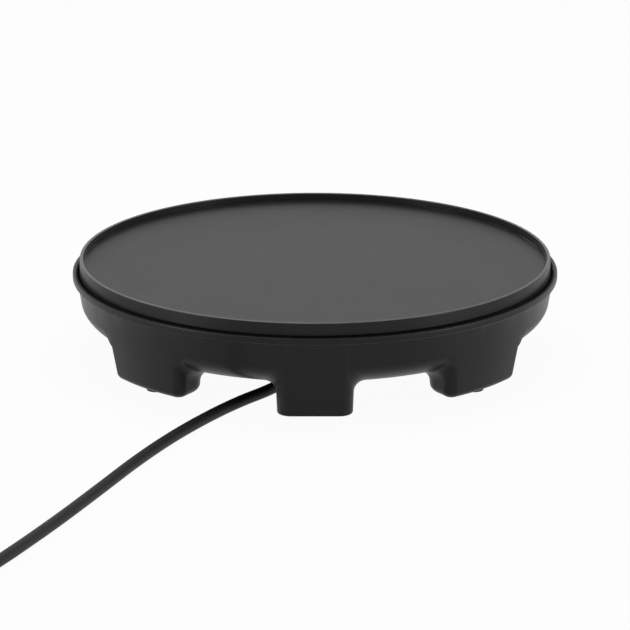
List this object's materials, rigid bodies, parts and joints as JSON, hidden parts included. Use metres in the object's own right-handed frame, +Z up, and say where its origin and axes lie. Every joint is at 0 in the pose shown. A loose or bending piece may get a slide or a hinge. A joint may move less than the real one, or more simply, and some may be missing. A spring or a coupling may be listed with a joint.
{
  "type": "electric crepe maker",
  "caption": "Countertop electric crepe maker: a round non-stick cast hotplate with a low rim on a dark moulded bowl with padded legs and a mains cord.",
  "frame": {"origin": "centre of the body's bounding box, on the table", "axes": "+Z up out of the cooking face, +Y towards the control knob, -Y towards the cord's side"},
  "size_m": [0.4611, 0.6548, 0.067],
  "materials": {
    "coated_aluminium": "cast, dark grey matte non-stick coating",
    "shield_aluminium": "bright rolled sheet",
    "element_steel": "oxidised tube",
    "plated_steel": "zinc plated",
    "ceramic": "unglazed",
    "housing_plastic": "moulded, fine satin grain",
    "panel_plastic": "smooth satin",
    "knob_plastic": "satin",
    "red_lens": "clear tinted",
    "green_lens": "clear tinted",
    "lamp_glass": "clear tube",
    "foot_rubber": "matt",
    "cord_rubber": "smooth matt sheath",
    "brass": "turned",
    "nylon": "natural",
    "tie_plastic": "ribbed strap",
    "brown_wire": "silicone insulation",
    "blue_wire": "silicone insulation",
    "green_wire": "green and yellow insulation",
    "nickel": "nickel plated"
  },
  "bodies": {
    "base": {"cooking_plate": "coated_aluminium", "heating_element": "element_steel", "element_beads": "ceramic", "element_tabs": "plated_steel", "heat_shield": "shield_aluminium", "spacers": "ceramic", "plate_screws": "plated_steel", "housing": "housing_plastic", "rubber_feet": "foot_rubber", "control_panel": "panel_plastic", "power_lens": "red_lens", "ready_lens": "green_lens", "pilot_lamps": "lamp_glass", "thermostat_body": "ceramic", "thermostat_bracket": "plated_steel", "thermostat_blade": "plated_steel", "bracket_screws": "plated_steel", "thermal_fuse": "shield_aluminium", "terminal_block": "nylon", "terminal_screws": "brass", "cord_bush": "cord_rubber", "cord_inner_end": "cord_rubber", "cord_clamp": "nylon", "clamp_screws": "plated_steel", "cord_cores": "brown_wire", "earth_tag": "brass", "earth_screw": "plated_steel", "neutral_lead": "blue_wire", "live_lead": "brown_wire", "earth_lead": "green_wire", "fuse_lead": "brown_wire", "element_lead": "brown_wire", "power_cord": "cord_rubber", "cord_coil": "cord_rubber", "cord_tie": "tie_plastic", "power_plug": "cord_rubber", "plug_pins": "nickel"},
    "knob": {"control_knob": "knob_plastic", "thermostat_spindle": "brass"}
  },
  "joints": [
    {"name": "knob_turn", "type": "hinge", "parent": "base", "child": "knob", "pos_m": [0, 0.1487, 0.031], "axis": [0, -1, 0], "range_deg": [0, 270]}
  ]
}
